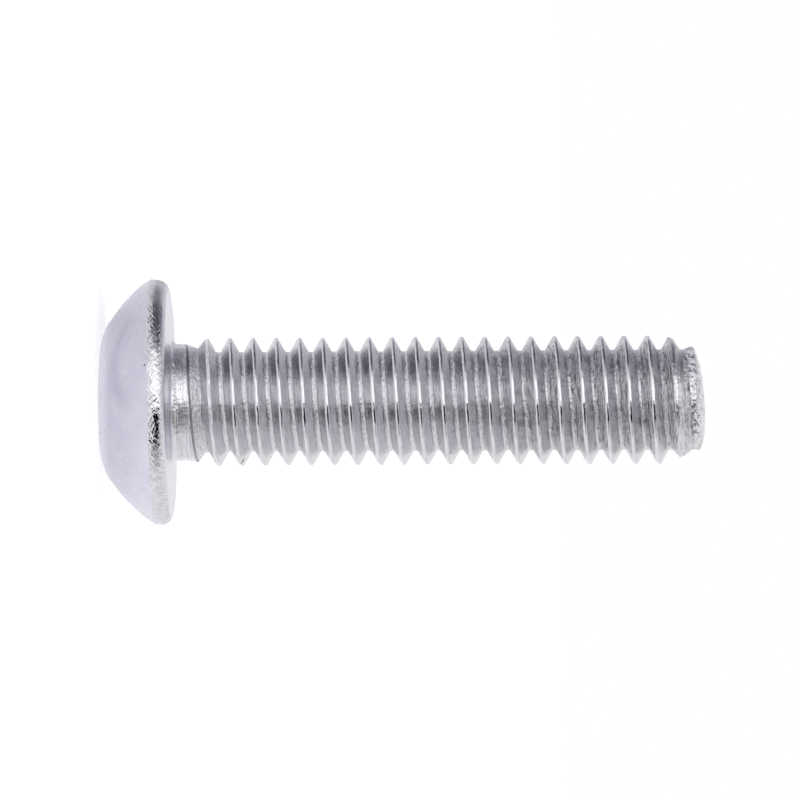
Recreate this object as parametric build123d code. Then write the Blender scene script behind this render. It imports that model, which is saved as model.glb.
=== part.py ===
"""Button head screw with a hexagon socket, M4 x 16, forged and thread-rolled from one blank.

All sizes are in millimetres. The screw stands on the flat land of its domed head, the one
face that it can stand on, with its axis on +Z: the land lies on z = 0, the bearing face
looks up at z = head_height, and the threaded end is at the top.

Heights named "above the bearing face" are measured from that face towards the thread.
"""

import math
import os

from build123d import *

# ---- head ----------------------------------------------------------------------------
head_diameter = 7.42  # over the rounded edge, the widest part
head_height = 2.2  # from the land to the bearing face
land_diameter = 3.78  # flat on top of the dome
edge_rounding = 0.5  # between the dome and the bearing face

# ---- hexagon socket, sunk into the land ----------------------------------------------
socket_across_flats = 2.5
socket_depth = 1.3  # length of the six flats
socket_point_angle = 140.0  # included angle of the punched bottom, in degrees
socket_mouth_diameter = 3.0  # of the chamfer at the mouth
socket_mouth_angle = 120.0  # included angle of that chamfer, in degrees

# ---- shank and thread ----------------------------------------------------------------
length = 16.0  # from the bearing face to the tip
neck_diameter = 3.54  # the plain blank under the head, which is the thread's pitch line
neck_fillet = 0.18  # under the head
major_diameter = 3.88  # over the thread's crests
pitch = 0.7
flank_angle = 60.0  # between neighbouring flanks, in degrees
crest_flat = pitch / 8  # flat left on each crest, as for any metric thread
root_flat = pitch / 6  # at the bottom of each groove

# ---- run-in under the head, where the rolling dies press in gradually ----------------
groove_start = 0.36  # above the bearing face: the roots begin to sink here
groove_run_in_angle = 20.0  # of the sinking roots to the axis, in degrees
crest_start = 0.52  # above the bearing face: the crests begin to rise here
crest_run_in_angle = 17.0  # of the rising crests to the axis, in degrees

# ---- point ---------------------------------------------------------------------------
end_diameter = 2.86  # of the flat end, just inside the thread's roots
point_angle = 24.0  # of the point's cone to the axis, in degrees

# ---- clearances of the groove's cutter, which leaves no mark of its own --------------
cutter_overrun = crest_flat / 2  # it stands this far out of the crests, and its turns don't meet
cutter_lift = 0.03  # it leaves the plain neck by this much before it ends

land_z = 0.0
bearing_z = land_z + head_height
neck_foot_z = bearing_z + neck_fillet
tip_z = bearing_z + length
head_radius = head_diameter / 2
land_radius = land_diameter / 2
neck_radius = neck_diameter / 2
major_radius = major_diameter / 2
end_radius = end_diameter / 2
half_flank = math.radians(flank_angle / 2)


def rise(run, angle):
    """The height over which a cone at this angle to the axis gains or loses a radius."""
    return run / math.tan(math.radians(angle))


def thread_depth():
    """Depth from crest to root, by the width that the flanks leave for the two flats."""
    return (pitch - crest_flat - root_flat) / 2 / math.tan(half_flank)


root_radius = major_radius - thread_depth()


def profile_face(outline):
    """A closed half profile, drawn as (radius, height), as a face in the XZ plane."""
    return Plane.XZ * make_face(outline)


def dome_circle():
    """The dome's radius and the height of its centre on the axis.

    The circle runs through the land's edge, and the edge rounding touches it from inside
    where that is as wide as the head: centre_z = offset + slope * radius, and
    radius**2 = land_radius**2 + centre_z**2.
    """
    rounding_x = head_radius - edge_rounding
    rounding_z = bearing_z - edge_rounding
    offset = (rounding_x**2 + rounding_z**2 - land_radius**2 - edge_rounding**2) / 2 / rounding_z
    slope = edge_rounding / rounding_z
    spread = math.sqrt(land_radius**2 * (1 - slope**2) + offset**2)
    radius = (offset * slope + spread) / (1 - slope**2)
    return radius, offset + slope * radius


def arc(centre, radius, start, end):
    """An arc about a centre, from one angle to another, both measured from straight down."""
    points = [
        (centre[0] + radius * math.sin(turn), centre[1] - radius * math.cos(turn))
        for turn in (start, (start + end) / 2, end)
    ]
    return ThreePointArc(*points)


def head():
    """The domed head, from its land up to the top of the fillet that leads into the neck."""
    dome_radius, dome_z = dome_circle()
    rounding_centre = (head_radius - edge_rounding, bearing_z - edge_rounding)
    meeting = math.atan2(rounding_centre[0], dome_z - rounding_centre[1])
    dome = arc((0, dome_z), dome_radius, math.atan2(land_radius, dome_z), meeting)
    edge = arc(rounding_centre, edge_rounding, meeting, math.pi)
    fillet_centre = (neck_radius + neck_fillet, neck_foot_z)
    foot = arc(fillet_centre, neck_fillet, 0, -math.pi / 2)
    bearing_face = Line(edge @ 1, foot @ 0)
    core = Polyline(foot @ 1, (0, neck_foot_z), (0, land_z), dome @ 0)
    return revolve(profile_face(dome + edge + bearing_face + foot + core), Axis.Z)


def shank_blank():
    """The shank's outline over its crests: neck, rising crests, thread and point."""
    crest_start_z = bearing_z + crest_start
    crest_full_z = crest_start_z + rise(major_radius - neck_radius, crest_run_in_angle)
    point_z = tip_z - rise(major_radius - end_radius, point_angle)
    outline = Polyline(
        (0, neck_foot_z),
        (neck_radius, neck_foot_z),
        (neck_radius, crest_start_z),
        (major_radius, crest_full_z),
        (major_radius, point_z),
        (end_radius, tip_z),
        (0, tip_z),
        close=True,
    )
    return revolve(profile_face(outline), Axis.Z)


def groove_section():
    """The cutter's section at the +X side: two flanks and the flat root between them."""
    outer_radius = major_radius + cutter_overrun
    half_root = root_flat / 2
    half_mouth = half_root + (outer_radius - root_radius) * math.tan(half_flank)
    outline = Polyline(
        (root_radius, -half_root),
        (outer_radius, -half_mouth),
        (outer_radius, half_mouth),
        (root_radius, half_root),
        close=True,
    )
    return profile_face(outline)


def thread_cutters():
    """The two cutters of the right-hand groove, which meet where it reaches full depth.

    The run-in goes down from there on a widening cone until it leaves the neck. The thread
    goes up on a cylinder, one edge to a turn, and past the tip.
    """
    full_depth_z = bearing_z + groove_start + rise(neck_radius - root_radius, groove_run_in_angle)
    section = Pos(0, 0, full_depth_z) * groove_section()
    cone_pitch = pitch / math.cos(math.radians(groove_run_in_angle))
    run_in_height = rise(neck_radius + cutter_lift - root_radius, groove_run_in_angle)
    downward = Pos(0, 0, full_depth_z) * Rot(180, 0, 0)
    run_in = downward * Helix(
        cone_pitch, run_in_height, root_radius, cone_angle=groove_run_in_angle
    )
    turns = math.ceil((tip_z - full_depth_z) / pitch) + 1
    turn = Helix(pitch, pitch, root_radius)
    thread = [Pos(0, 0, full_depth_z + index * pitch) * turn for index in range(turns)]
    return [sweep(section, path, is_frenet=True) for path in (run_in, thread)]


def shank():
    """The threaded shank, from the top of the fillet under the head to the tip."""
    return shank_blank() - thread_cutters()


def socket():
    """The punched hexagon socket: six flats, a conical bottom and a chamfered mouth."""
    corner_radius = socket_across_flats / 2 / math.cos(math.pi / 6)
    point_height = corner_radius / math.tan(math.radians(socket_point_angle / 2))
    mouth_radius = socket_mouth_diameter / 2
    mouth_height = mouth_radius / math.tan(math.radians(socket_mouth_angle / 2))
    hexagon = RegularPolygon(socket_across_flats / 2, 6, major_radius=False)
    prism = extrude(hexagon, socket_depth + point_height)
    punch_outline = Polyline(
        (0, land_z),
        (corner_radius, land_z),
        (corner_radius, land_z + socket_depth),
        (0, land_z + socket_depth + point_height),
        close=True,
    )
    mouth_outline = Polyline(
        (0, land_z), (mouth_radius, land_z), (0, land_z + mouth_height), close=True
    )
    punch = prism & revolve(profile_face(punch_outline), Axis.Z)
    return punch + revolve(profile_face(mouth_outline), Axis.Z)


def button_head_screw():
    """The finished screw, one solid."""
    screw = head() + shank() - socket()
    screw.label = "button_head_screw"
    return screw


def main():
    """Builds the screw, prints its main figures and writes its STEP file."""
    os.makedirs("parts", exist_ok=True)
    screw = button_head_screw()
    print(f"root diameter {2 * root_radius:.3f}, thread depth {thread_depth():.3f}")
    print(f"volume {screw.volume:.2f} mm3, size {screw.bounding_box().size}")
    export_step(screw, "parts/button_head_screw.step")


main()
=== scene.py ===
# %% [markdown]
# # A button head screw, M4 x 16
# The imported solid is loaded first. It fixes where everything goes: +Z is up, the screw stands on
# the flat land of its domed head, and its thread points straight up.

# %% Load the frame
import math

import bmesh
import bpy
from mathutils import Matrix, Vector, noise


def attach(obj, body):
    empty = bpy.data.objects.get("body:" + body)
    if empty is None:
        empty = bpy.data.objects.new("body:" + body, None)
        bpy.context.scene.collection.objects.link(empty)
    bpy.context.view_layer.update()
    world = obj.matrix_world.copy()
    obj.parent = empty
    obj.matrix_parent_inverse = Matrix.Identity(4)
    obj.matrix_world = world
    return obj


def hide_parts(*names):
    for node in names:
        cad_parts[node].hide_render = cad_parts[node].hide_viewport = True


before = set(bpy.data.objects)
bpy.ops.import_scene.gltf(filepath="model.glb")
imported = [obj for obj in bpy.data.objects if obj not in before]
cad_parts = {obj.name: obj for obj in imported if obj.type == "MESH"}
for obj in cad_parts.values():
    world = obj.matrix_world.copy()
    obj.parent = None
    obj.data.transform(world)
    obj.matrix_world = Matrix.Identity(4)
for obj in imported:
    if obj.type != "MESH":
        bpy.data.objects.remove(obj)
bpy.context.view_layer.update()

# %% [markdown]
# ## Directions
# A screw looks the same from every side, except that its thread climbs. So one bearing round
# the axis is chosen as the front. `FRONT` points at the camera and `BELOW` is what ends up at
# the foot of the picture, because the camera lies on its side: the tip points to the right.

# %% Front and below
MM = 0.001
BELOW_ANGLE = math.radians(-40)
BELOW = Vector((math.cos(BELOW_ANGLE), math.sin(BELOW_ANGLE), 0))
FRONT = Vector((0, 0, 1)).cross(-BELOW)
print("front", [round(c, 3) for c in FRONT], "below", [round(c, 3) for c in BELOW])

# %% [markdown]
# ## Camera
# A small part is shot from far back with a long lens, so that its sides stay parallel. The
# camera stands level with the upper third of the thread and looks slightly down towards the
# middle of the screw. It is turned on its side, and a third of a degree further.

# %% Camera
CAMERA_DISTANCE = 240 * MM
CAMERA_HEIGHT = 15.2 * MM
VIEW_WIDTH = 24.16 * MM
CAMERA_ROLL = math.radians(0.31)
AIM_HEIGHT = 9.03 * MM
AIM_ASIDE = 0.032 * MM
SENSOR_WIDTH = 36
aim = Vector((0, 0, AIM_HEIGHT)) - BELOW * AIM_ASIDE
camera_data = bpy.data.cameras.new("camera")
camera_data.sensor_width = SENSOR_WIDTH
camera_data.lens = SENSOR_WIDTH * CAMERA_DISTANCE / VIEW_WIDTH
camera_data.clip_start = 10 * MM
camera_data.clip_end = 10
camera = bpy.data.objects.new("camera", camera_data)
bpy.context.scene.collection.objects.link(camera)
bpy.context.scene.camera = camera
camera_place = FRONT * CAMERA_DISTANCE + Vector((0, 0, CAMERA_HEIGHT))
back = (camera_place - aim).normalized()
level = Vector((0, 0, 1)) - back * back.z
level.normalize()
upward = back.cross(level)
right = level * math.cos(CAMERA_ROLL) - upward * math.sin(CAMERA_ROLL)
up = upward * math.cos(CAMERA_ROLL) + level * math.sin(CAMERA_ROLL)
camera_turn = Matrix((right, up, back)).transposed().to_4x4()
camera.matrix_world = Matrix.Translation(camera_place) @ camera_turn
print("camera lens", round(camera_data.lens, 1), "mm")

# %% [markdown]
# ## Colours and nodes
# Colours are written as sRGB hex values, as a paint chart gives them, and one function turns
# them into the linear values that the shaders count in. One more function adds a node, with its
# settings and the links that run into it.

# %% Colour and node helpers
def linear(hex_colour, alpha=1.0):
    """An sRGB hex colour as linear RGBA."""
    values = [int(hex_colour[i:i + 2], 16) / 255 for i in (1, 3, 5)]
    turned = [v / 12.92 if v <= 0.04045 else ((v + 0.055) / 1.055) ** 2.4 for v in values]
    return (*turned, alpha)


def add_node(tree, kind, given=None, **settings):
    """Adds a node and sets it. Each input that is given is a value, or a socket to link from."""
    node = tree.nodes.new(kind)
    for name, value in settings.items():
        setattr(node, name, value)
    for name, value in (given or {}).items():
        if isinstance(value, bpy.types.NodeSocket):
            tree.links.new(value, node.inputs[name])
        else:
            node.inputs[name].default_value = value
    return node


def new_material(name):
    """An empty material and its node tree."""
    material = bpy.data.materials.new(name)
    material.use_nodes = True
    material.node_tree.nodes.clear()
    return material, material.node_tree


print("mid grey #808080 is", round(linear("#808080")[0], 3), "in linear light")

# %% [markdown]
# ## The floor
# Polished metal has hardly any look of its own: it shows what stands round it. So the studio
# matters as much as the screw. The floor is matt white card. It catches the screw's shadow, and
# it glows a little to the camera and in reflections, so that it is as white as the background.
# The card's glow in reflections is painted dimmer on the side that is up in the picture: a painted
# shade that darkens the dome from one side to the other.

# %% White card
CARD_GLOW = 0.62
FADE_START = -3.6 * MM
FADE_END = -1.2 * MM
DIM_MIRROR = 0.68
FULL_MIRROR = 0.89
white_card, tree = new_material("white_card")
path = add_node(tree, "ShaderNodeLightPath")
mirrored = add_node(
    tree, "ShaderNodeMath",
    {0: path.outputs["Is Glossy Ray"], 1: path.outputs["Is Transmission Ray"]},
    operation="MAXIMUM",
)
across_card = add_node(tree, "ShaderNodeMapping", {
    "Vector": add_node(tree, "ShaderNodeTexCoord").outputs["Object"],
    "Rotation": (0, 0, -BELOW_ANGLE),
})
# Painted shade: the glow that the dome mirrors fades dimmer towards the side that is up in the
# picture.
mirror_shade_fade = add_node(
    tree, "ShaderNodeMapRange",
    {
        "Value": add_node(
            tree, "ShaderNodeSeparateXYZ", {0: across_card.outputs[0]}
        ).outputs["X"],
        "From Min": FADE_START, "From Max": FADE_END,
        "To Min": DIM_MIRROR, "To Max": FULL_MIRROR,
    },
    interpolation_type="SMOOTHSTEP",
)
mirror_level = add_node(
    tree, "ShaderNodeMath", {0: mirrored.outputs[0], 1: mirror_shade_fade.outputs[0]}, operation="MULTIPLY"
)
seen = add_node(
    tree, "ShaderNodeMath",
    {0: path.outputs["Is Camera Ray"], 1: mirror_level.outputs[0]}, operation="MAXIMUM",
)
glow_level = add_node(
    tree, "ShaderNodeMath", {0: seen.outputs[0], 1: CARD_GLOW}, operation="MULTIPLY"
)
glow = add_node(tree, "ShaderNodeEmission", {"Strength": glow_level.outputs[0]})
matt = add_node(tree, "ShaderNodeBsdfDiffuse", {"Color": linear("#D6D6D9")})
both = add_node(tree, "ShaderNodeAddShader", {0: matt.outputs[0], 1: glow.outputs[0]})
add_node(tree, "ShaderNodeOutputMaterial", {"Surface": both.outputs[0]})
print(white_card.name, len(tree.nodes), "nodes")

# %% Floor
FLOOR_SIZE = 4.0
mesh = bpy.data.meshes.new("floor")
bm = bmesh.new()
bmesh.ops.create_grid(bm, x_segments=1, y_segments=1, size=FLOOR_SIZE / 2)
bm.to_mesh(mesh)
bm.free()
mesh.materials.append(white_card)
floor = bpy.data.objects.new("floor", mesh)
bpy.context.scene.collection.objects.link(floor)
print("floor", FLOOR_SIZE, "m wide")

# %% [markdown]
# ## The room
# The room is plain white too, and a little under full strength where it lights the screw, so
# that pale metal doesn't clip. To the camera, and in mirrors and glass, it is pure white.

# %% White room
ROOM_LIGHT = 0.95
world = bpy.data.worlds.new("studio")
bpy.context.scene.world = world
world.use_nodes = True
tree = world.node_tree
tree.nodes.clear()
path = add_node(tree, "ShaderNodeLightPath")
mirrored = add_node(
    tree, "ShaderNodeMath",
    {0: path.outputs["Is Glossy Ray"], 1: path.outputs["Is Transmission Ray"]},
    operation="MAXIMUM",
)
seen = add_node(
    tree, "ShaderNodeMath",
    {0: path.outputs["Is Camera Ray"], 1: mirrored.outputs[0]}, operation="MAXIMUM",
)
white = add_node(tree, "ShaderNodeBackground", {"Color": (1, 1, 1, 1), "Strength": 1.0})
room = add_node(tree, "ShaderNodeBackground", {"Color": (1, 1, 1, 1), "Strength": ROOM_LIGHT})
mixed = add_node(
    tree, "ShaderNodeMixShader", {0: seen.outputs[0], 1: room.outputs[0], 2: white.outputs[0]}
)
add_node(tree, "ShaderNodeOutputWorld", {"Surface": mixed.outputs[0]})
bpy.context.scene.view_settings.view_transform = "Standard"
print("room", len(tree.nodes), "nodes")

# %% [markdown]
# ## Cards round the screw
# Each panel is an upright strip that stands round the screw's axis, from one bearing to another
# as seen from above. Bearings are counted from the camera, and up in the picture is positive.
# A white strip is a softbox. A dark one is a flag, which gives metal the black lines without
# which it looks like plaster. The camera doesn't see the panels, only their reflections. The
# flags are lower than the rest, so that what faces upwards still shows white.

# %% One panel
PANEL_DISTANCE = 120 * MM
PANEL_HEIGHT = 400 * MM
DEGREES_A_FACET = 4


def panel(name, start, end, hex_colour, strength, high):
    """An upright strip round the screw, between two bearings in degrees."""
    material, tree = new_material(name)
    light = add_node(
        tree, "ShaderNodeEmission", {"Color": linear(hex_colour), "Strength": strength}
    )
    add_node(tree, "ShaderNodeOutputMaterial", {"Surface": light.outputs[0]})
    first = FRONT * math.cos(math.radians(start)) - BELOW * math.sin(math.radians(start))
    bm = bmesh.new()
    foot = bm.verts.new(first * PANEL_DISTANCE)
    top = bm.verts.new(first * PANEL_DISTANCE + Vector((0, 0, high)))
    upright = bm.edges.new((foot, top))
    bmesh.ops.spin(
        bm, geom=[foot, top, upright], cent=(0, 0, 0), axis=(0, 0, 1), dvec=(0, 0, 0),
        angle=-math.radians(end - start), steps=max(2, round((end - start) / DEGREES_A_FACET)),
        use_merge=False, use_duplicate=False,
    )
    mesh = bpy.data.meshes.new(name)
    bm.to_mesh(mesh)
    bm.free()
    mesh.materials.append(material)
    strip = bpy.data.objects.new(name, mesh)
    bpy.context.scene.collection.objects.link(strip)
    strip.visible_camera = False


print("panels stand", round(PANEL_DISTANCE / MM), "mm from the axis")

# %% Panels
UPPER_FLAG_HEIGHT = 160 * MM
BLACK_FLAG_HEIGHT = 200 * MM
PANELS = (
    ("softbox", -5, 40, "#FFFFFF", 1.66, PANEL_HEIGHT),
    ("softbox_edge", 40, 51, "#FFFFFF", 1.0, PANEL_HEIGHT),
    ("grey_card", 51, 63, "#C4C4CA", 1.0, PANEL_HEIGHT),
    ("upper_flag_edge", 63, 75, "#8E8E98", 1.0, UPPER_FLAG_HEIGHT),
    ("upper_flag", 75, 106, "#5A5A65", 1.0, UPPER_FLAG_HEIGHT),
    ("far_side", 106, 136, "#8E8E99", 1.0, PANEL_HEIGHT),
    ("far_side_edge", 136, 172, "#DADAE0", 1.0, PANEL_HEIGHT),
    ("black_flag", -42, -5, "#0A0A0C", 1.0, BLACK_FLAG_HEIGHT),
    ("lower_edge", -66, -42, "#CCCBCD", 1.0, PANEL_HEIGHT),
)
for row in PANELS:
    panel(*row)
print("panels", [row[0] for row in PANELS])

# %% [markdown]
# ## Sizes
# These are the solid's own sizes in millimetres. The skin is built in millimetres too and scaled
# to metres at the very end, because rounding errors are smaller in numbers of this size. A turn
# of the thread and a ring of the head have the same number of steps, so that the two join up.

# %% Sizes in millimetres
BEARING_Z = 2.2
TIP_Z = 18.2
PITCH = 0.7
NECK_RADIUS = 1.77
ROOT_RADIUS = 1.511
CREST_RADIUS = 1.94
FULL_DEPTH_Z = BEARING_Z + 1.0727
STEPS = 180
print("pitches from the seat to the tip", round((TIP_Z - BEARING_Z) / PITCH, 1))

# %% [markdown]
# ## The threaded shank
# A thread could be cut with a boolean, but that leaves ragged faces on something this fine.
# Spinning does it cleanly. One pitch of the thread's outline goes round the axis and climbs by
# exactly one pitch in a turn, so that each turn's top edge meets the bottom edge of the next
# one, and merging doubles closes the seam. The crest and the root are rounded, as rolled
# threads are.

# %% One pitch of the thread
def thread_outline():
    """Radius and height of one pitch, from the middle of a root up to the next one."""
    half = [
        (0.0, CREST_RADIUS),
        (0.034, CREST_RADIUS - 0.001),
        (0.048, CREST_RADIUS - 0.008),
        (0.058, CREST_RADIUS - 0.022),
        (0.066, CREST_RADIUS - 0.036),
        (0.272, ROOT_RADIUS + 0.026),
        (0.282, ROOT_RADIUS + 0.012),
        (0.300, ROOT_RADIUS + 0.003),
        (0.350, ROOT_RADIUS),
    ]
    below = [(-rise, radius) for rise, radius in reversed(half[1:])]
    return [(radius, rise + PITCH / 2) for rise, radius in below + half]


print("one pitch has", len(thread_outline()), "points")

# %% Spin the thread
TURNS = 26
TURNS_BELOW = 3
MERGE_GAP = 0.002


def spin_thread(bm, start_z, turns):
    """Winds the outline once round the axis, climbing one pitch, and stacks copies of the turn."""
    verts = [bm.verts.new((radius, 0, start_z + rise)) for radius, rise in thread_outline()]
    edges = [bm.edges.new(pair) for pair in zip(verts, verts[1:])]
    bmesh.ops.spin(
        bm, geom=verts + edges, cent=(0, 0, 0), axis=(0, 0, 1), dvec=(0, 0, PITCH / STEPS),
        angle=math.tau, steps=STEPS, use_merge=False, use_duplicate=False,
    )
    one_turn = bm.verts[:] + bm.edges[:] + bm.faces[:]
    for turn in range(1, turns):
        copy = bmesh.ops.duplicate(bm, geom=one_turn)["geom"]
        points = [part for part in copy if isinstance(part, bmesh.types.BMVert)]
        bmesh.ops.translate(bm, vec=(0, 0, PITCH * turn), verts=points)
    bmesh.ops.remove_doubles(bm, verts=bm.verts, dist=MERGE_GAP)


screw_bm = bmesh.new()
thread_start = FULL_DEPTH_Z - TURNS_BELOW * PITCH
spin_thread(screw_bm, thread_start, TURNS)
print("thread from", round(thread_start, 2), "mm:", len(screw_bm.faces), "faces")

# %% [markdown]
# ## Run-in and point
# Under the head the rolling dies press in gradually, and the last turns run down the cone of the
# point. Both are limits on the radius: no root is deeper than the run-in lets it be, and no
# crest stands out of the blank's outline. Moving each vertex in to its limit shapes both.

# %% Limits on the radius
def radius_at(z, points):
    """The radius at a height, on straight lines between the given points."""
    for (low_z, low_r), (high_z, high_r) in zip(points, points[1:]):
        if z <= high_z:
            share = max(0.0, (z - low_z) / (high_z - low_z))
            return low_r + (high_r - low_r) * share
    return points[-1][1]


ROOT_LIMIT = [
    (BEARING_Z + 0.34, NECK_RADIUS),
    (BEARING_Z + 0.56, NECK_RADIUS - 0.075),
    (BEARING_Z + 0.76, NECK_RADIUS - 0.155),
    (FULL_DEPTH_Z, ROOT_RADIUS),
]
CREST_LIMIT = [
    (BEARING_Z + 0.52, NECK_RADIUS),
    (BEARING_Z + 1.02, CREST_RADIUS - 0.02),
    (BEARING_Z + 1.40, CREST_RADIUS),
    (TIP_Z - 1.30, CREST_RADIUS),
    (TIP_Z - 1.05, CREST_RADIUS - 0.055),
    (TIP_Z - 0.60, CREST_RADIUS - 0.24),
    (TIP_Z + 0.50, CREST_RADIUS - 0.67),
]


def limit_radii(bm):
    """Moves every vertex of the thread between its two limits."""
    for vert in bm.verts:
        radius = vert.co.xy.length
        wanted = max(radius, radius_at(vert.co.z, ROOT_LIMIT))
        wanted = min(wanted, radius_at(vert.co.z, CREST_LIMIT))
        vert.co.xy *= wanted / radius


limit_radii(screw_bm)
print("run-in ends at", round(FULL_DEPTH_Z, 2), "mm")

# %% [markdown]
# ## Cutting the shank to length
# Two planes trim the spun thread. The first goes across the plain neck and leaves a round rim
# that the head can grow from. Points where the climbing edges cross that plane are dissolved,
# so that the rim has one point to each step of the spin. The second goes through the point, a
# little aslant, because the wire was sheared off there and not turned.

# %% Trim the ends
NECK_CUT_Z = BEARING_Z + 0.30
END_CUT_Z = TIP_Z - 0.215
END_SLANT = 0.063
RIM_GAP = 0.001
ON_PLANE = 0.0001
STEP_SLACK = 0.01


def rim_edges(bm, low, high):
    """The open edges that lie between two heights."""
    return [e for e in bm.edges if e.is_boundary and all(low < v.co.z < high for v in e.verts)]


def trim(bm, place, normal):
    """Cuts off what lies on the normal's side of a plane."""
    everything = bm.verts[:] + bm.edges[:] + bm.faces[:]
    bmesh.ops.bisect_plane(
        bm, geom=everything, dist=ON_PLANE, plane_co=place, plane_no=normal,
        clear_outer=True, clear_inner=False,
    )


trim(screw_bm, (0, 0, NECK_CUT_Z), (0, 0, -1))
end_normal = Vector((0, 0, 1)) - BELOW * END_SLANT
end_place = Vector((0, 0, END_CUT_Z))
trim(screw_bm, end_place, end_normal)


def off_step(vert):
    """Whether a rim point lies between two steps of the spin."""
    share = math.atan2(vert.co.y, vert.co.x) / math.tau * STEPS
    return abs(share - round(share)) > STEP_SLACK


neck_rim = rim_edges(screw_bm, NECK_CUT_Z - RIM_GAP, NECK_CUT_Z + RIM_GAP)
neck_points = {v for e in neck_rim for v in e.verts}
bmesh.ops.dissolve_verts(screw_bm, verts=[v for v in neck_points if off_step(v)])
neck_rim = rim_edges(screw_bm, NECK_CUT_Z - RIM_GAP, NECK_CUT_Z + RIM_GAP)
end_rim = rim_edges(screw_bm, NECK_CUT_Z + RIM_GAP, TIP_Z + PITCH)
print("neck rim", len(neck_rim), "edges, end rim", len(end_rim), "edges")

# %% [markdown]
# ## Growing the head
# The head is turned from the neck's rim: the rim is extruded ring by ring, and each new ring is
# scaled and moved to its radius and height. A lathe would make the same shape, but this way the
# shank and the head are one skin, with no seam between them.

# %% One more ring
def extrude_ring(bm, ring):
    """Extrudes a ring of edges in place, and gives the new ring's edges and points."""
    made = bmesh.ops.extrude_edge_only(bm, edges=ring)["geom"]
    verts = [part for part in made if isinstance(part, bmesh.types.BMVert)]
    fresh = set(verts)
    edges = [
        part for part in made
        if isinstance(part, bmesh.types.BMEdge) and all(v in fresh for v in part.verts)
    ]
    return edges, verts


def next_ring(bm, ring, radius, height):
    """Extrudes a ring of edges and gives the new ring its radius and height."""
    edges, verts = extrude_ring(bm, ring)
    grow = radius / verts[0].co.xy.length
    bmesh.ops.scale(bm, vec=(grow, grow, 1), verts=verts)
    bmesh.ops.translate(bm, vec=(0, 0, height - verts[0].co.z), verts=verts)
    return edges


print("each ring has", len(neck_rim), "edges")

# %% Head outline
def arc_points(centre, radius, start, end, count):
    """Points on an arc as (radius, height), with angles in degrees from straight down."""
    points = []
    for index in range(count + 1):
        turn = math.radians(start + (end - start) * index / count)
        points.append(
            (centre[0] + radius * math.sin(turn), centre[1] - radius * math.cos(turn))
        )
    return points


FILLET_RADIUS = 0.18
FILLET_CENTRE = (NECK_RADIUS + FILLET_RADIUS, BEARING_Z + 0.145)
EDGE_RADIUS = 0.371
EDGE_CENTRE = (3.335, BEARING_Z - 0.460)
DOME_RADIUS = 4.49
DOME_CENTRE = (0, 4.073)
LAND_RADIUS = 1.58
MOUTH_RADIUS = 1.5
MOUTH_Z = 0.006
fillet = arc_points(FILLET_CENTRE, FILLET_RADIUS, -90, -4, 6)
seat = [(2.1, BEARING_Z - 0.044), (2.7, BEARING_Z - 0.068), (3.15, BEARING_Z - 0.083)]
rounded_edge = arc_points(EDGE_CENTRE, EDGE_RADIUS, 170, 90, 12)
step_to_dome = [(3.706, 1.600), (3.702, 1.572), (3.689, 1.548), (3.667, 1.510), (3.636, 1.458)]
dome = arc_points(DOME_CENTRE, DOME_RADIUS, 52.6, 33.5, 16)
land_edge = [
    (2.40, 0.262), (2.27, 0.186), (2.13, 0.124), (1.97, 0.070),
    (1.83, 0.034), (1.72, 0.013), (1.64, 0.003), (LAND_RADIUS, 0.0),
]
land = [(MOUTH_RADIUS + 0.015, 0.0), (MOUTH_RADIUS, MOUTH_Z)]
head_outline = fillet + seat + rounded_edge + step_to_dome + dome + land_edge + land
for spot_r, spot_z in head_outline:
    neck_rim = next_ring(screw_bm, neck_rim, spot_r, spot_z)
print("head outline of", len(head_outline), "rings")

# %% [markdown]
# ## The hexagon socket
# A punch drives the socket into the land. Its chamfered mouth is round, its six walls are flat,
# and its bottom is a shallow cone. The same ring goes on: each of its points moves in to the
# hexagon, down the walls and then to the middle. The number of steps divides by six, so six
# points fall exactly on the corners.

# %% Socket
HEX_FLAT = 1.25
HEX_CORNER = HEX_FLAT / math.cos(math.pi / 6)
SOCKET_DEPTH = 1.3
MOUTH_HALF_ANGLE = math.radians(60)
BOTTOM_HALF_ANGLE = math.radians(70)


def hexagon_radius(co):
    """The distance from the axis to the hexagon's side, on a point's bearing."""
    bearing = math.atan2(co.y, co.x) % math.radians(60)
    return HEX_FLAT / math.cos(bearing - math.radians(30))


def socket_ring(bm, ring, share, height):
    """Extrudes a ring onto the hexagon, shrunk to a share of it."""
    edges, verts = extrude_ring(bm, ring)
    for vert in verts:
        reach = hexagon_radius(vert.co) * share
        vert.co.xy *= reach / vert.co.xy.length
        vert.co.z = height(reach)
    return edges


def mouth_height(reach):
    """The height of the mouth's chamfer at a distance from the axis."""
    return MOUTH_Z + (MOUTH_RADIUS - reach) / math.tan(MOUTH_HALF_ANGLE)


def bottom_height(reach):
    """The height of the punched bottom at a distance from the axis."""
    return SOCKET_DEPTH + (HEX_CORNER - reach) / math.tan(BOTTOM_HALF_ANGLE)


socket_rim = socket_ring(screw_bm, neck_rim, 1.0, mouth_height)
for depth in (0.30, 0.70, 1.10, 1.27):
    socket_rim = socket_ring(screw_bm, socket_rim, 1.0, lambda reach, depth=depth: depth)
for share in (0.98, 0.75, 0.5, 0.25, 0.06):
    socket_rim = socket_ring(screw_bm, socket_rim, share, bottom_height)
socket_middle = list({v for e in socket_rim for v in e.verts})
bmesh.ops.pointmerge(screw_bm, verts=socket_middle, merge_co=(0, 0, bottom_height(0)))
print("socket", 2 * HEX_FLAT, "mm across flats and", round(bottom_height(0), 2), "mm deep")

# %% [markdown]
# ## The sheared end
# The wire was cropped before the thread was rolled, so the end isn't turned: it leans a little
# and bulges in the middle. The end's rim is drawn in with a few rings and closed to a point.
# Each pair below is a ring's share of the rim's size and its rise above the cut.

# %% End
END_BULGE = ((1.0, 0.0), (0.95, 0.05), (0.85, 0.10), (0.65, 0.165), (0.40, 0.215), (0.15, 0.235))


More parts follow.
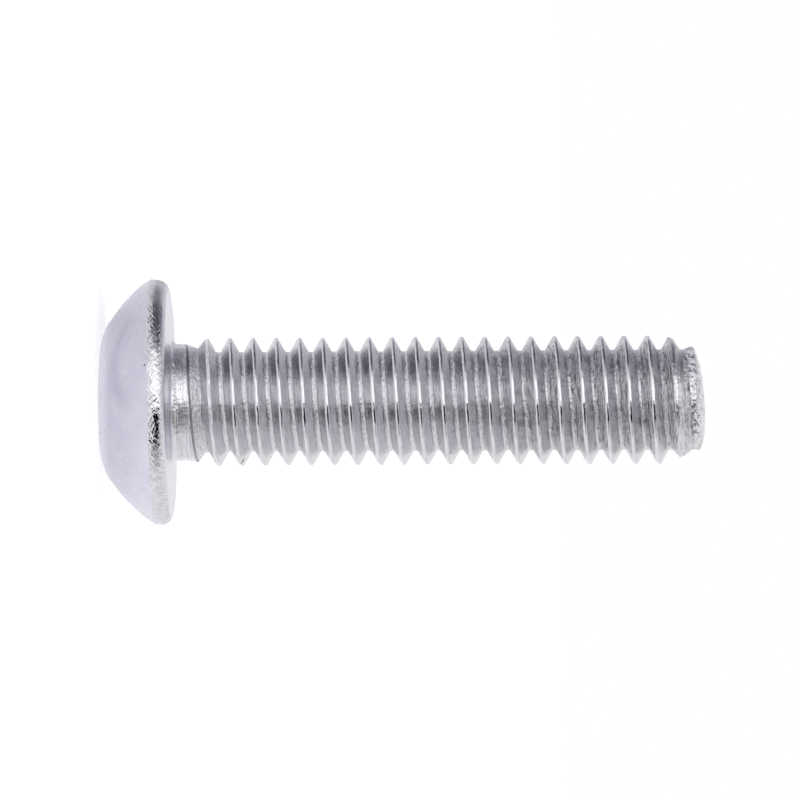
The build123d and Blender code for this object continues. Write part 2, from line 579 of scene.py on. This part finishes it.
def end_ring(bm, ring, shrink, lift):
    """Extrudes the end's rim inwards and upwards."""
    edges, verts = extrude_ring(bm, ring)
    bmesh.ops.scale(
        bm, vec=(shrink, shrink, shrink), verts=verts,
        space=Matrix.Translation(-end_place),
    )
    bmesh.ops.translate(bm, vec=(0, 0, lift), verts=verts)
    return edges


for (old_share, old_rise), (share, rise) in zip(END_BULGE, END_BULGE[1:]):
    shrink = share / old_share
    end_rim = end_ring(screw_bm, end_rim, shrink, rise - old_rise * shrink)
last_points = list({v for e in end_rim for v in e.verts})
end_middle = sum((v.co for v in last_points), Vector()) / len(last_points)
bmesh.ops.pointmerge(screw_bm, verts=last_points, merge_co=end_middle)
print("end at", round(end_middle.z, 3), "mm")

# %% [markdown]
# ## Off centre and aslant
# Real heads are struck a little off centre, and the seat and the rim lean by under a degree.
# Everything outside the neck is slid and leaned here. The slide fades out towards the seat,
# and the lean towards the land, which has to stay flat on the floor.

# %% Lean the head
HEAD_OFFSET = -0.035
SEAT_LEAN = math.radians(0.7)
RIM_LEAN = math.radians(0.9)
SHANK_FOOT_Z = BEARING_Z + 0.2
SEAT_FOOT_Z = BEARING_Z - 0.3
FULL_LEAN_Z = 1.2
LEAN_FADE = 0.5


def lean_head(bm):
    """Slides and leans the head, with nothing at the neck and a level land."""
    for vert in bm.verts:
        if vert.co.z > SHANK_FOOT_Z:
            continue
        radius = vert.co.xy.length
        under = vert.co.z < SEAT_FOOT_Z
        share = 1.0 if under else min(1.0, max(0.0, (radius - NECK_RADIUS) / LEAN_FADE))
        lean = RIM_LEAN if under else SEAT_LEAN
        lean *= share * min(1.0, vert.co.z / FULL_LEAN_Z)
        if radius < MOUTH_RADIUS + 0.01:
            lean = 0.0
        vert.co.z += vert.co.dot(BELOW) * math.tan(lean)
        vert.co += BELOW * HEAD_OFFSET * share * (1 - vert.co.z / BEARING_Z)


lean_head(screw_bm)
print("head slid by", abs(HEAD_OFFSET), "mm")

# %% [markdown]
# ## Smooth and sharp
# The skin is closed now, so its faces can be turned outwards. They are shaded smooth, apart
# from the edges where two faces meet at more than 28 degrees, such as the socket's corners.

# %% Shading
SHARP_ANGLE = math.radians(28)
bmesh.ops.recalc_face_normals(screw_bm, faces=screw_bm.faces)
for face in screw_bm.faces:
    face.smooth = True
for edge in screw_bm.edges:
    edge.smooth = edge.is_boundary or edge.calc_face_angle(0.0) < SHARP_ANGLE
print("open edges", sum(edge.is_boundary for edge in screw_bm.edges))

# %% [markdown]
# ## Small unevenness
# Rolled steel is never quite even. Each point moves in or out by up to three hundredths of a
# millimetre, after a smooth noise: least on the thread, more on the rim, where the steel flowed
# freely between the dies, and most at the sheared end. The dome and the land stay as they are.

# %% Unevenness
UNEVEN_END = 0.022
UNEVEN_THREAD = 0.010
UNEVEN_RIM = 0.014
SHEARED_Z = TIP_Z - 0.30
RIM_FOOT_Z = 1.3
WAVES_PER_MM = 2.2
RIPPLES_PER_MM = 7.0


def uneven(co):
    """How far a point may move, in millimetres."""
    if co.z > SHEARED_Z:
        return UNEVEN_END
    if co.z > SHANK_FOOT_Z:
        return UNEVEN_THREAD
    return UNEVEN_RIM if co.z > RIM_FOOT_Z else 0.0


moved = 0
for vert in screw_bm.verts:
    reach = uneven(vert.co)
    if reach:
        waves = noise.noise(vert.co * WAVES_PER_MM)
        ripples = noise.noise(vert.co * RIPPLES_PER_MM)
        vert.co += vert.normal * (waves + 0.5 * ripples) * reach
        moved += 1
print("points moved", moved, "of", len(screw_bm.verts))

# %% [markdown]
# ## Unrolled millimetres
# The marks on a screw run round it or along its thread. So the patterns are laid out on the
# unrolled surface: how far round it and how far up. The Mapping node counts in millimetres, and
# turns the screw so that the join between the two ends of the strip is at the back.

# %% Places on the unrolled surface
FRONT_ANGLE = math.atan2(FRONT.y, FRONT.x)


def place_in_mm(tree):
    """The place on the screw in millimetres, turned so that X points to the front."""
    return add_node(tree, "ShaderNodeMapping", {
        "Vector": add_node(tree, "ShaderNodeTexCoord").outputs["Object"],
        "Rotation": (0, 0, -FRONT_ANGLE),
        "Scale": (1 / MM, 1 / MM, 1 / MM),
    }).outputs[0]


def unroll(tree, place):
    """The angle from the front in radians, and the height in millimetres."""
    split = add_node(tree, "ShaderNodeSeparateXYZ", {0: place})
    angle = add_node(
        tree, "ShaderNodeMath", {0: split.outputs["Y"], 1: split.outputs["X"]},
        operation="ARCTAN2",
    ).outputs[0]
    return angle, split.outputs["Z"]


print("patterns join at the back,", round(math.degrees(FRONT_ANGLE)) + 180, "degrees")

# %% [markdown]
# ## Specks
# A plated screw that has rolled round in a box carries a few dark specks, where dirt sits in a
# pit. They are only where somebody would find them, so they are listed one by one: how far
# towards the front, how far towards the foot of the picture, how high, and then how large. Their
# outline is ragged, because a noise is added to the distance from the middle.

# %% Specks
FAR_OFF = 9.0
SPECKS = (
    ((0.57, 1.81, 4.33), 0.105), ((0.87, 1.54, 3.02), 0.075), ((1.04, 1.55, 9.33), 0.045),
    ((1.05, 1.56, 10.57), 0.045), ((0.79, 1.73, 14.98), 0.060), ((1.99, -2.62, 1.02), 0.030),
    ((3.51, -1.11, 1.51), 0.032), ((1.60, 0.91, 0.03), 0.045), ((2.90, -1.90, 0.95), 0.022),
    ((0.80, 2.50, 2.12), 0.050), ((0.60, 3.00, 2.09), 0.045), ((2.50, 2.20, 0.95), 0.022),
)


def speck_share(tree, place, wobble):
    """How much a place is covered by a speck, from 0 to 1."""
    nearest = FAR_OFF
    for spot, size in SPECKS:
        gap = add_node(
            tree, "ShaderNodeVectorMath", {0: place, 1: spot}, operation="DISTANCE"
        ).outputs["Value"]
        ragged_gap = add_node(
            tree, "ShaderNodeMath", {0: gap, 1: 1 / size, 2: wobble}, operation="MULTIPLY_ADD"
        ).outputs[0]
        nearest = add_node(
            tree, "ShaderNodeMath", {0: nearest, 1: ragged_gap}, operation="MINIMUM"
        ).outputs[0]
    return add_node(
        tree, "ShaderNodeMapRange",
        {"Value": nearest, "From Min": 1.2, "From Max": 1.7, "To Min": 1.0, "To Max": 0.0},
    ).outputs[0]


print("specks", len(SPECKS))

# %% [markdown]
# ## Bright zinc plate on the dome
# The screw is steel under a few thousandths of a millimetre of zinc, passivated blue. Zinc is a
# light metal with a faint cool tint. A polished die struck the dome, so the plate is smooth
# there. It clouds over a little more than half a millimetre. Next to the land the tint is painted
# lighter, a painted highlight against the floor's shadow that the dome mirrors there. The first
# step lays these tints out.

# %% Zinc on the dome
CLOUDS_PER_MM = 1.6
GRAINS_PER_MM = 7.0
zinc_dome, tree = new_material("bright_zinc_on_struck_dome")
place = place_in_mm(tree)
angle, height = unroll(tree, place)
cloud = add_node(
    tree, "ShaderNodeTexNoise",
    {"Vector": place, "Scale": CLOUDS_PER_MM, "Detail": 4.0, "Roughness": 0.6},
).outputs[0]
grain = add_node(
    tree, "ShaderNodeTexNoise",
    {"Vector": place, "Scale": GRAINS_PER_MM, "Detail": 3.0, "Roughness": 0.7},
).outputs[0]
cloud_share = add_node(
    tree, "ShaderNodeMapRange", {"Value": cloud, "From Min": 0.3, "From Max": 0.7}
).outputs[0]
tint = add_node(
    tree, "ShaderNodeMix",
    {"Factor": cloud_share, 6: linear("#CDCBD8"), 7: linear("#D8D7E1")}, data_type="RGBA",
).outputs[2]
# Painted highlight: the tint is lighter next to the land, where the dome mirrors the floor's
# shadow.
painted_light_by_land = add_node(
    tree, "ShaderNodeMapRange",
    {"Value": height, "From Min": 0.10, "From Max": 0.42, "To Min": 0.75, "To Max": 0.0},
    interpolation_type="SMOOTHSTEP",
).outputs[0]
tint = add_node(
    tree, "ShaderNodeMix", {"Factor": painted_light_by_land, 6: tint, 7: linear("#E6E5ED")},
    data_type="RGBA",
).outputs[2]
print("clouds", round(1 / CLOUDS_PER_MM, 2), "mm, grain", round(1 / GRAINS_PER_MM, 2), "mm")

# %% [markdown]
# ## A painted darker arc on the dome
# On one side a faint darker arc is painted into the tint: a painted reflection of something dark
# beside the screw. An arc on a dome is a height that depends on the angle: it is lowest in the
# middle and rises as the square of the angle. The tint darkens with the distance from that height
# and fades at the arc's two ends.

# %% Painted reflection: darker arc on the dome
ARC_MIDDLE = math.radians(-22)
ARC_REACH = math.radians(27)
ARC_HEIGHT = 0.53
ARC_RISE = 0.40
ARC_WIDTH = 0.30
ARC_DEPTH = 0.34
off_middle = add_node(
    tree, "ShaderNodeMath", {0: angle, 1: 1 / ARC_REACH, 2: -ARC_MIDDLE / ARC_REACH},
    operation="MULTIPLY_ADD",
).outputs[0]
curve = add_node(
    tree, "ShaderNodeMath", {0: off_middle, 1: off_middle}, operation="MULTIPLY"
).outputs[0]
arc_height = add_node(
    tree, "ShaderNodeMath", {0: curve, 1: ARC_RISE, 2: ARC_HEIGHT}, operation="MULTIPLY_ADD"
).outputs[0]
off_arc = add_node(
    tree, "ShaderNodeMath", {0: height, 1: arc_height}, operation="SUBTRACT"
).outputs[0]
arc_gap = add_node(tree, "ShaderNodeMath", {0: off_arc}, operation="ABSOLUTE").outputs[0]
painted_reflection_arc = add_node(
    tree, "ShaderNodeMapRange",
    {"Value": arc_gap, "From Max": ARC_WIDTH, "To Min": ARC_DEPTH, "To Max": 0.0},
    interpolation_type="SMOOTHSTEP",
).outputs[0]
arc_end = add_node(
    tree, "ShaderNodeMapRange",
    {"Value": curve, "From Min": 0.3, "From Max": 1.4, "To Min": 1.0, "To Max": 0.0},
    interpolation_type="SMOOTHSTEP",
).outputs[0]
painted_reflection_arc = add_node(
    tree, "ShaderNodeMath", {0: painted_reflection_arc, 1: arc_end}, operation="MULTIPLY"
).outputs[0]
# Painted reflection: the tint darkens along the arc, where the dome would mirror something dark.
tint = add_node(
    tree, "ShaderNodeMix", {"Factor": painted_reflection_arc, 6: tint, 7: linear("#A9A8B8")},
    data_type="RGBA",
).outputs[2]
print("arc", round(math.degrees(2 * ARC_REACH)), "degrees long and", ARC_HEIGHT, "mm up")

# %% [markdown]
# ## The dome's shader
# Every finish ends the same way: a tint, a roughness and a bump go into one metal shader. The
# bump is about a hundredth of a millimetre deep, because a struck face is nearly smooth.

# %% Dome shader
specks = speck_share(tree, place, grain)
tint = add_node(
    tree, "ShaderNodeMix", {"Factor": specks, 6: tint, 7: linear("#5F5D66")},
    data_type="RGBA",
).outputs[2]
normal = add_node(
    tree, "ShaderNodeBump", {"Height": cloud, "Distance": 0.012 * MM}
).outputs[0]
normal = add_node(
    tree, "ShaderNodeBump", {"Height": grain, "Distance": 0.0025 * MM, "Normal": normal}
).outputs[0]
gloss = add_node(
    tree, "ShaderNodeMapRange",
    {"Value": cloud, "From Min": 0.35, "From Max": 0.65, "To Min": 0.20, "To Max": 0.32},
).outputs[0]
metal = add_node(
    tree, "ShaderNodeBsdfPrincipled",
    {"Base Color": tint, "Roughness": gloss, "Normal": normal, "Metallic": 1.0},
)
add_node(tree, "ShaderNodeOutputMaterial", {"Surface": metal.outputs[0]})
print(zinc_dome.name, len(tree.nodes), "nodes")

# %% [markdown]
# ## Bright zinc plate on the rim
# Round the rim no die held the steel. It wrinkled there, in short slanting folds over a quarter
# of a millimetre long and under a tenth wide, and the plate made them glitter. Two sets of
# folds lean against each other, and the higher of the two at each place shows. Each set is a
# noise that a Mapping node has turned and stretched.

# %% Folds on the rim
RIM_RADIUS = 3.71
FOLD_LEAN = math.radians(40)
FOLD_SIZE = (0.28, 0.075, 1)
zinc_rim, tree = new_material("bright_zinc_on_wrinkled_rim")
angle, height = unroll(tree, place_in_mm(tree))
round_mm = add_node(
    tree, "ShaderNodeMath", {0: angle, 1: RIM_RADIUS}, operation="MULTIPLY"
).outputs[0]
flat = add_node(tree, "ShaderNodeCombineXYZ", {0: round_mm, 1: height}).outputs[0]
folds = 0.0
for lean in (FOLD_LEAN, -FOLD_LEAN):
    sized = add_node(
        tree, "ShaderNodeMapping",
        {"Vector": flat, "Rotation": (0, 0, lean), "Scale": FOLD_SIZE}, vector_type="TEXTURE",
    ).outputs[0]
    fold = add_node(
        tree, "ShaderNodeTexNoise",
        {"Vector": sized, "Scale": 1.0, "Detail": 1.0, "Distortion": 0.3},
    ).outputs[0]
    folds = add_node(
        tree, "ShaderNodeMath", {0: fold, 1: folds}, operation="MAXIMUM"
    ).outputs[0]
fold_share = add_node(
    tree, "ShaderNodeMapRange", {"Value": folds, "From Min": 0.45, "From Max": 0.65}
).outputs[0]
print("folds", FOLD_SIZE[0], "by", FOLD_SIZE[1], "mm")

# %% [markdown]
# ## Two sides of the rim
# The steel flowed further on two opposite sides of the head. The folds are deepest there, and
# in between the rim is smoother and more matt. A cosine of twice the angle is high on two
# opposite sides and low between them, which is all that this needs.

# %% Rim shader
twice_round = add_node(
    tree, "ShaderNodeMath", {0: angle, 1: 2.0}, operation="MULTIPLY"
).outputs[0]
by_side = add_node(tree, "ShaderNodeMath", {0: twice_round}, operation="COSINE").outputs[0]
wrinkled = add_node(
    tree, "ShaderNodeMapRange", {"Value": by_side, "From Min": -0.7, "From Max": 0.25},
    interpolation_type="SMOOTHSTEP",
).outputs[0]
fold_strength = add_node(
    tree, "ShaderNodeMapRange", {"Value": wrinkled, "To Min": 0.40, "To Max": 1.0}
).outputs[0]
tint = add_node(
    tree, "ShaderNodeMix",
    {"Factor": fold_share, 6: linear("#C5C4CA"), 7: linear("#D7D7DB")}, data_type="RGBA",
).outputs[2]
gloss = add_node(
    tree, "ShaderNodeMapRange", {"Value": fold_share, "To Min": 0.13, "To Max": 0.06}
).outputs[0]
gloss = add_node(
    tree, "ShaderNodeMix", {"Factor": wrinkled, 2: 0.32, 3: gloss}
).outputs[0]
normal = add_node(
    tree, "ShaderNodeBump",
    {"Height": folds, "Distance": 0.025 * MM, "Strength": fold_strength},
).outputs[0]
metal = add_node(
    tree, "ShaderNodeBsdfPrincipled",
    {"Base Color": tint, "Roughness": gloss, "Normal": normal, "Metallic": 1.0},
)
add_node(tree, "ShaderNodeOutputMaterial", {"Surface": metal.outputs[0]})
print(zinc_rim.name, len(tree.nodes), "nodes")

# %% [markdown]
# ## Bright zinc plate on the seat
# The die pressed the seat flat, with fine rings from its turned face, a tenth of a millimetre
# apart. They are a noise in the distance from the axis, stretched along the angle.

# %% Zinc on the seat
RING_WIDTH = 0.11
RING_SWEEP = 0.67
zinc_seat, tree = new_material("bright_zinc_on_pressed_seat")
place = place_in_mm(tree)
angle = unroll(tree, place)[0]
level_place = add_node(
    tree, "ShaderNodeVectorMath", {0: place, 1: (1, 1, 0)}, operation="MULTIPLY"
).outputs[0]
reach = add_node(
    tree, "ShaderNodeVectorMath", {0: level_place}, operation="LENGTH"
).outputs["Value"]
spot = add_node(tree, "ShaderNodeCombineXYZ", {0: reach, 1: angle}).outputs[0]
sized = add_node(
    tree, "ShaderNodeMapping", {"Vector": spot, "Scale": (RING_WIDTH, RING_SWEEP, 1)},
    vector_type="TEXTURE",
).outputs[0]
rings = add_node(
    tree, "ShaderNodeTexNoise", {"Vector": sized, "Scale": 1.0, "Detail": 3.0}
).outputs[0]
ring_share = add_node(
    tree, "ShaderNodeMapRange", {"Value": rings, "From Min": 0.3, "From Max": 0.7}
).outputs[0]
tint = add_node(
    tree, "ShaderNodeMix",
    {"Factor": ring_share, 6: linear("#D6D5DF"), 7: linear("#E0E0E9")}, data_type="RGBA",
).outputs[2]
specks = speck_share(tree, place, rings)
tint = add_node(
    tree, "ShaderNodeMix", {"Factor": specks, 6: tint, 7: linear("#5F5D66")},
    data_type="RGBA",
).outputs[2]
gloss = add_node(
    tree, "ShaderNodeMapRange", {"Value": ring_share, "To Min": 0.22, "To Max": 0.34}
).outputs[0]
normal = add_node(
    tree, "ShaderNodeBump", {"Height": rings, "Distance": 0.005 * MM}
).outputs[0]
metal = add_node(
    tree, "ShaderNodeBsdfPrincipled",
    {"Base Color": tint, "Roughness": gloss, "Normal": normal, "Metallic": 1.0},
)
add_node(tree, "ShaderNodeOutputMaterial", {"Surface": metal.outputs[0]})
print(zinc_seat.name, len(tree.nodes), "nodes")

# %% [markdown]
# ## Zones of the thread
# What the thread looks like depends on where on the thread it is. `climb` is the height with
# the thread's rise taken off, so that it is the same all the way along a crest. Divided by the
# pitch, its fraction is the `lead`: 0 in a root, 0.5 on a crest and 1 in the next root. Each
# zone is a number from 0 to 1 made from the lead or the height. The `worked` zone has the laps
# that rolling leaves. It is the flank on the head's side of each crest, more and more towards
# the tip, and both flanks of the last turns, where the dies bite first.

# %% Where on the thread
zinc_thread, tree = new_material("bright_zinc_on_rolled_thread")
place = place_in_mm(tree)
angle, height = unroll(tree, place)
climb = add_node(
    tree, "ShaderNodeMath", {0: angle, 1: -PITCH / math.tau, 2: height},
    operation="MULTIPLY_ADD",
).outputs[0]
START = FULL_DEPTH_Z / PITCH + FRONT_ANGLE / math.tau
turns = add_node(
    tree, "ShaderNodeMath", {0: climb, 1: 1 / PITCH, 2: -START}, operation="MULTIPLY_ADD"
).outputs[0]
lead = add_node(tree, "ShaderNodeMath", {0: turns}, operation="FRACT").outputs[0]
zones = {}
for name, value, bottom, top, at_bottom, at_top in (
    ("pushed_flank", lead, 0.46, 0.50, 1.0, 0.0),
    ("upper_half", height, 9.0, 14.0, 0.0, 1.0),
    ("last_turns", height, 16.3, 17.0, 0.0, 0.55),
    ("last_crest", height, 16.95, 17.15, 0.0, 0.45),
    ("neck", height, 2.95, 3.15, 1.0, 0.0),
    ("let_go", height, 2.68, 2.78, 0.15, 1.0),
    ("by_the_edge_line", height, 2.5, 2.6, 0.0, 1.0),
):
    zones[name] = add_node(
        tree, "ShaderNodeMapRange",
        {
            "Value": value, "From Min": bottom, "From Max": top,
            "To Min": at_bottom, "To Max": at_top,
        },
        interpolation_type="SMOOTHSTEP",
    ).outputs[0]
for name, centre_lead, inner, outer, at_inner, at_outer in (
    ("off_crest", 0.5, 0.050, 0.080, 0.0, 1.0),
    ("root", 0.5, 0.400, 0.440, 0.0, 1.0),
    ("edge_line", 0.63, 0.025, 0.065, 1.0, 0.0),
):
    offset = add_node(
        tree, "ShaderNodeMath", {0: lead, 1: centre_lead}, operation="SUBTRACT"
    ).outputs[0]
    gap = add_node(tree, "ShaderNodeMath", {0: offset}, operation="ABSOLUTE").outputs[0]
    zones[name] = add_node(
        tree, "ShaderNodeMapRange",
        {
            "Value": gap, "From Min": inner, "From Max": outer,
            "To Min": at_inner, "To Max": at_outer,
        },
        interpolation_type="SMOOTHSTEP",
    ).outputs[0]
for name, first, second, operation in (
    ("off_crest", "off_crest", "last_crest", "MAXIMUM"),
    ("worked", "pushed_flank", "upper_half", "MULTIPLY"),
    ("worked", "worked", "last_turns", "MAXIMUM"),
    ("worked", "worked", "off_crest", "MULTIPLY"),
    ("pitted", "neck", "let_go", "MULTIPLY"),
    ("edge_line", "edge_line", "by_the_edge_line", "MULTIPLY"),
    ("edge_line", "edge_line", "neck", "MULTIPLY"),
):
    zones[name] = add_node(
        tree, "ShaderNodeMath", {0: zones[first], 1: zones[second]}, operation=operation
    ).outputs[0]
zones["lapped"] = add_node(
    tree, "ShaderNodeMapRange", {"Value": zones["worked"], "To Min": 0.16, "To Max": 1.0}
).outputs[0]
print("zones", sorted(zones))

# %% [markdown]
# ## Marks on the thread
# Laps run along the thread. They are a few hundredths of a millimetre wide and are drawn twice
# as coarse, to show at all. Finer lines lie between them, and grit has no direction. The plain
# neck keeps the drawn wire's rings, which run level. Each mark is a noise in millimetres, and
# its size is given across and along.

# %% Marks on the thread
SHANK_RADIUS = 1.8
round_mm = add_node(
    tree, "ShaderNodeMath", {0: angle, 1: SHANK_RADIUS}, operation="MULTIPLY"
).outputs[0]
by_lead = add_node(tree, "ShaderNodeCombineXYZ", {0: climb, 1: round_mm}).outputs[0]
by_height = add_node(tree, "ShaderNodeCombineXYZ", {0: height, 1: round_mm}).outputs[0]
marks = {}
for name, spot, size, detail in (
    ("laps", by_lead, (0.070, 0.55, 1), 3.0),
    ("fine", by_lead, (0.035, 0.28, 1), 2.0),
    ("rings", by_height, (0.075, 1.5, 1), 3.0),
    ("grit", place, (0.11, 0.11, 0.11), 3.0),
):
    sized = add_node(
        tree, "ShaderNodeMapping", {"Vector": spot, "Scale": size}, vector_type="TEXTURE"
    ).outputs[0]
    marks[name] = add_node(
        tree, "ShaderNodeTexNoise",
        {"Vector": sized, "Scale": 1.0, "Detail": detail, "Roughness": 0.6},
    ).outputs[0]
marks["edge_line"] = zones["edge_line"]
print("marks", list(marks))

# %% [markdown]
# ## Bumps on the thread
# A Bump node takes the normal of the one before it, so bumps can be stacked. Each row names a
# mark, its depth in millimetres and the zone that it shows in. The die's edge left a line on
# the neck, which is a groove and so is inverted, and a band of pits where it let go. The crests
# have hardly any bump, because they were squeezed up into the bottom of the die's grooves and
# burnished there.

# %% Bumps on the thread
normal = None
for name, depth, share in (
    ("laps", 0.060, zones["lapped"]),
    ("fine", 0.005, zones["off_crest"]),
    ("grit", 0.060, zones["lapped"]),
    ("grit", 0.034, zones["root"]),
    ("rings", 0.050, zones["neck"]),
    ("grit", 0.055, zones["pitted"]),
    ("edge_line", -0.055, 1.0),
):
    given = {"Height": marks[name], "Distance": abs(depth) * MM, "Strength": share}
    if normal:
        given["Normal"] = normal
    normal = add_node(tree, "ShaderNodeBump", given, invert=depth < 0).outputs[0]
print("thread so far", len(tree.nodes), "nodes")

# %% [markdown]
# ## Bright zinc plate on the thread
# The tint is darker, down to grey, in the hollows of the laps and in the groove of the die's line.
# The neck was drawn smooth and never rolled, so it is glossier than the flanks. The crests are
# glossiest of all, apart from the last one, which the point has cut down.

# %% Colour and gloss of the thread
lap_share = add_node(
    tree, "ShaderNodeMapRange", {"Value": marks["laps"], "From Min": 0.3, "From Max": 0.7}
).outputs[0]
# The tint darkens towards grey in the hollows of the laps and in the groove of the die's line.
dark_lap_hollows = add_node(
    tree, "ShaderNodeMapRange",
    {"Value": marks["laps"], "From Min": 0.36, "From Max": 0.48, "To Min": 0.85, "To Max": 0.0},
).outputs[0]
dark_lap_hollows = add_node(
    tree, "ShaderNodeMath", {0: dark_lap_hollows, 1: zones["worked"]}, operation="MULTIPLY"
).outputs[0]
dark_line_groove = add_node(
    tree, "ShaderNodeMath", {0: zones["edge_line"], 1: 0.75}, operation="MULTIPLY"
).outputs[0]
dark_hollows = add_node(
    tree, "ShaderNodeMath", {0: dark_lap_hollows, 1: dark_line_groove}, operation="MAXIMUM"
).outputs[0]
flank_gloss = add_node(
    tree, "ShaderNodeMapRange", {"Value": lap_share, "To Min": 0.16, "To Max": 0.30}
).outputs[0]
neck_gloss = add_node(
    tree, "ShaderNodeMix", {"Factor": zones["neck"], 2: flank_gloss, 3: 0.10}
).outputs[0]
gloss = add_node(
    tree, "ShaderNodeMix", {"Factor": zones["off_crest"], 2: 0.05, 3: neck_gloss}
).outputs[0]
tint = add_node(
    tree, "ShaderNodeMix",
    {"Factor": lap_share, 6: linear("#C6C6CA"), 7: linear("#DADADE")}, data_type="RGBA",
).outputs[2]
tint = add_node(
    tree, "ShaderNodeMix", {"Factor": zones["neck"], 6: tint, 7: linear("#D8D8DC")},
    data_type="RGBA",
).outputs[2]
tint = add_node(
    tree, "ShaderNodeMix", {"Factor": dark_hollows, 6: tint, 7: linear("#77767C")},
    data_type="RGBA",
).outputs[2]
specks = speck_share(tree, place, marks["grit"])
tint = add_node(
    tree, "ShaderNodeMix", {"Factor": specks, 6: tint, 7: linear("#4E4B4A")},
    data_type="RGBA",
).outputs[2]
metal = add_node(
    tree, "ShaderNodeBsdfPrincipled",
    {"Base Color": tint, "Roughness": gloss, "Normal": normal, "Metallic": 1.0},
)
add_node(tree, "ShaderNodeOutputMaterial", {"Surface": metal.outputs[0]})
print(zinc_thread.name, len(tree.nodes), "nodes")

# %% [markdown]
# ## Bright zinc plate on the sheared end
# Shearing tears the last part of the wire, so the end is coarse, a seventh of a millimetre from
# one lump to the next, and it catches light in specks. The pits between the lumps are darker.

# %% Zinc on the end
LUMPS_PER_MM = 6.5
zinc_end, tree = new_material("bright_zinc_on_sheared_end")
torn = add_node(
    tree, "ShaderNodeTexNoise",
    {"Vector": place_in_mm(tree), "Scale": LUMPS_PER_MM, "Detail": 2.0, "Roughness": 0.6},
).outputs[0]
torn_share = add_node(
    tree, "ShaderNodeMapRange", {"Value": torn, "From Min": 0.33, "From Max": 0.48}
).outputs[0]
tint = add_node(
    tree, "ShaderNodeMix",
    {"Factor": torn_share, 6: linear("#8A8A90"), 7: linear("#D8D8DC")}, data_type="RGBA",
).outputs[2]
gloss = add_node(
    tree, "ShaderNodeMapRange", {"Value": torn_share, "To Min": 0.20, "To Max": 0.08}
).outputs[0]
normal = add_node(
    tree, "ShaderNodeBump", {"Height": torn, "Distance": 0.085 * MM}
).outputs[0]
metal = add_node(
    tree, "ShaderNodeBsdfPrincipled",
    {"Base Color": tint, "Roughness": gloss, "Normal": normal, "Metallic": 1.0},
)
add_node(tree, "ShaderNodeOutputMaterial", {"Surface": metal.outputs[0]})
print(zinc_end.name, len(tree.nodes), "nodes")

# %% [markdown]
# ## Which finish goes where
# Each face takes its finish from where it lies. The end is told by how near it is to the
# slanted cut, the thread by its height, and the rim and the seat by their distance from the
# axis and their height. The border between dome and rim is aslant, because the head is.

# %% Finishes of the faces
FINISHES = (zinc_dome, zinc_rim, zinc_seat, zinc_thread, zinc_end)
END_DEPTH = 0.34
END_REACH = 1.62
FACING_UP = 0.7
SHANK_Z = BEARING_Z + 0.03
BORDER_SLANT = 0.019
RIM_REACH = 3.2
RIM_LOW_Z = 1.572
RIM_HIGH_Z = 2.035
SEAT_LOW_Z = 2.0


def finish_of(face):
    """The finish that a face takes."""
    middle = face.calc_center_median()
    reach = middle.xy.length
    from_end = TIP_Z - middle.z + END_SLANT * middle.dot(BELOW)
    if from_end < END_DEPTH and (face.normal.z > FACING_UP or reach < END_REACH):
        return zinc_end
    if middle.z > SHANK_Z:
        return zinc_thread
    height = middle.z - BORDER_SLANT * middle.dot(BELOW)
    if reach > RIM_REACH and RIM_LOW_Z < height < RIM_HIGH_Z:
        return zinc_rim
    if reach > NECK_RADIUS and height > SEAT_LOW_Z:
        return zinc_seat
    return zinc_dome


screw_bm.normal_update()
for face in screw_bm.faces:
    face.material_index = FINISHES.index(finish_of(face))
for index, finish in enumerate(FINISHES):
    print(finish.name, sum(face.material_index == index for face in screw_bm.faces), "faces")

# %% [markdown]
# ## The finished screw
# The skin is scaled to metres and becomes an object that sits at the origin, unturned. It
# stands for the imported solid, which is hidden, and rides on the only body.

# %% Screw object
bmesh.ops.scale(screw_bm, vec=(MM, MM, MM), verts=screw_bm.verts)
screw_mesh = bpy.data.meshes.new("zinc_plated_screw")
screw_bm.to_mesh(screw_mesh)
screw_bm.free()
for finish in FINISHES:
    screw_mesh.materials.append(finish)
screw = bpy.data.objects.new("zinc_plated_screw", screw_mesh)
bpy.context.scene.collection.objects.link(screw)
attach(screw, "root")
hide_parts("button_head_screw")
screw_mesh.calc_loop_triangles()
print("screw triangles", len(screw_mesh.loop_triangles))
